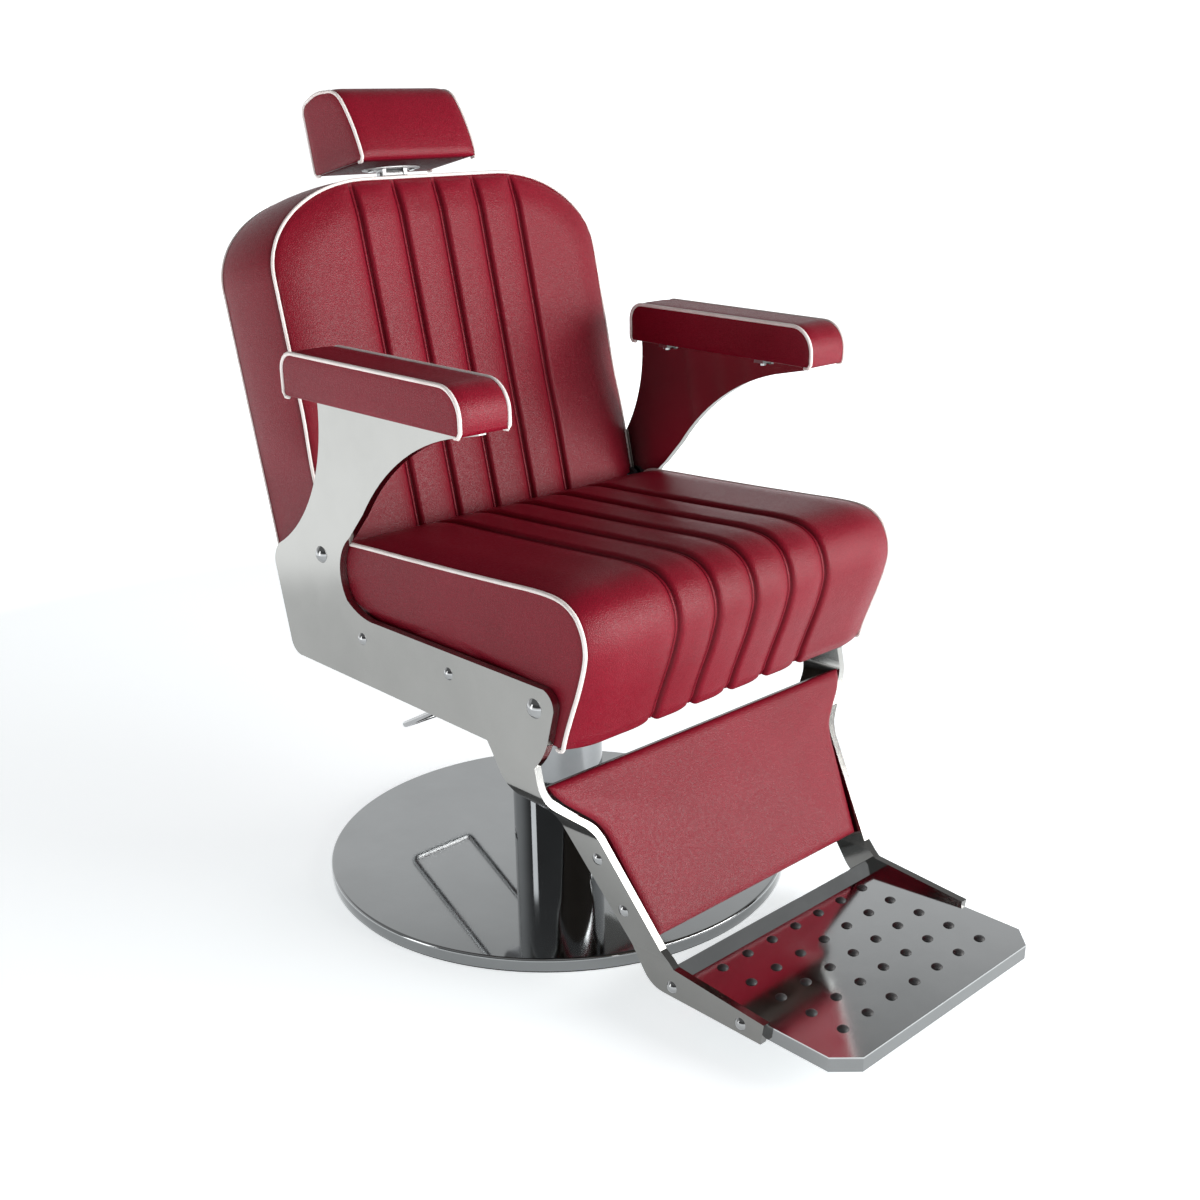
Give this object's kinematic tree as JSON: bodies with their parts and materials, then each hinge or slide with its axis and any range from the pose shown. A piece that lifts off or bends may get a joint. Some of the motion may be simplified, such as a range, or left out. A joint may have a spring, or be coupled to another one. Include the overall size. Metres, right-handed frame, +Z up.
{
  "type": "hydraulic barber chair",
  "caption": "Hydraulic barber chair: padded seat, reclining back and adjustable headrest between steel side plates with armrests, leg pad and studded foot plate, on a round pump base.",
  "frame": {"origin": "centre of the round base's underside, on the floor and on the swivel axis", "axes": "+Z up; the sitter faces -Y; +X is on the sitter's left, so the foot plate is at -Y and the back at +Y"},
  "size_m": [0.6499, 1.038, 1.0239],
  "materials": {
    "polished_chrome": "polished",
    "brushed_steel": "polished",
    "bolt_chrome": "polished",
    "machine_steel": "satin",
    "black_steel": "satin",
    "brass_bush": "satin",
    "plywood": "matte",
    "red_leather": "satin",
    "cream_piping": "satin",
    "black_rubber": "matte",
    "black_plastic": "gloss"
  },
  "bodies": {
    "base": {"base_gasket": "black_rubber", "base_disc": "polished_chrome", "pump_bolts": "bolt_chrome", "pump_cylinder": "machine_steel", "pump_gland": "machine_steel", "column_cover": "polished_chrome", "pedal_housing": "machine_steel", "column_bezel": "polished_chrome"},
    "pedal": {"pedal_shaft": "polished_chrome", "pedal_rod": "polished_chrome", "pedal_screws": "bolt_chrome"},
    "lift": {"lift_piston": "polished_chrome", "swivel_washer": "brass_bush"},
    "seat": {"turret_hub": "black_steel", "turret_plate": "black_steel", "seat_crossbars": "black_steel", "turret_bolts": "bolt_chrome", "side_plate_left": "brushed_steel", "side_plate_right": "brushed_steel", "seat_bolts": "bolt_chrome", "front_bolts": "bolt_chrome", "recline_bolts": "bolt_chrome", "leg_bolts": "bolt_chrome", "foot_bolts": "bolt_chrome", "seat_frame": "plywood", "seat_board": "plywood", "seat_cushion": "red_leather", "arm_pad_left": "red_leather", "arm_pad_right": "red_leather", "arm_board_left": "plywood", "arm_board_right": "plywood", "arm_tabs": "machine_steel", "arm_screws": "bolt_chrome", "leg_pad": "red_leather", "leg_board": "plywood", "foot_plate": "polished_chrome", "foot_studs": "black_rubber", "gas_cylinder": "black_steel", "spring_pin_front": "machine_steel", "spring_bracket": "black_steel", "shaft_hangers": "black_steel"},
    "gas_rod": {"gas_rod": "polished_chrome"},
    "release": {"release_shaft": "machine_steel", "release_lever": "polished_chrome", "release_knob": "black_plastic"},
    "back": {"back_brackets": "black_steel", "back_bushes": "brass_bush", "back_rail": "black_steel", "spring_pin_rear": "machine_steel", "back_cushion": "red_leather", "back_board": "plywood", "back_cover": "red_leather", "post_guide": "black_steel"},
    "headrest_post": {"headrest_post": "polished_chrome"},
    "headrest": {"headrest_pin": "polished_chrome", "headrest_bracket": "polished_chrome", "headrest_screws": "bolt_chrome", "headrest_pad": "red_leather", "headrest_board": "plywood"}
  },
  "joints": [
    {"name": "lift", "type": "slide", "parent": "base", "child": "lift", "axis": [0, 0, 1], "range_m": [0, 0.14]},
    {"name": "swivel", "type": "hinge", "parent": "lift", "child": "seat", "pos_m": [0, 0, 0.32], "axis": [0, 0, 1], "continuous": true},
    {"name": "recline", "type": "hinge", "parent": "seat", "child": "back", "pos_m": [0, 0.119, 0.487], "axis": [-1, 0, 0], "range_deg": [0, 45.84]},
    {"name": "gas_rod_slide", "type": "slide", "parent": "seat", "child": "gas_rod", "axis": [0, -0.9063, -0.4226], "range_m": [0, 0.051]},
    {"name": "release_turn", "type": "hinge", "parent": "seat", "child": "release", "pos_m": [0, -0.072, 0.357], "axis": [1, 0, 0], "range_deg": [0, 20], "stiffness_Nm_per_rad": 1.5, "springref_deg": -22.92},
    {"name": "pedal_press", "type": "hinge", "parent": "base", "child": "pedal", "pos_m": [0, 0.076, 0.252], "axis": [-1, 0, 0], "range_deg": [0, 23], "stiffness_Nm_per_rad": 4, "springref_deg": -34.38},
    {"name": "headrest_height", "type": "slide", "parent": "back", "child": "headrest_post", "axis": [0, 0.2223, 0.975], "range_m": [0, 0.08]},
    {"name": "headrest_tilt", "type": "hinge", "parent": "headrest_post", "child": "headrest", "pos_m": [0, 0.30404, 0.92072], "axis": [1, 0, 0], "range_deg": [-17, 11]}
  ],
  "couplings": [
    {"joint": "gas_rod_slide", "follows": "recline", "m_per_rad": 0.0623}
  ]
}
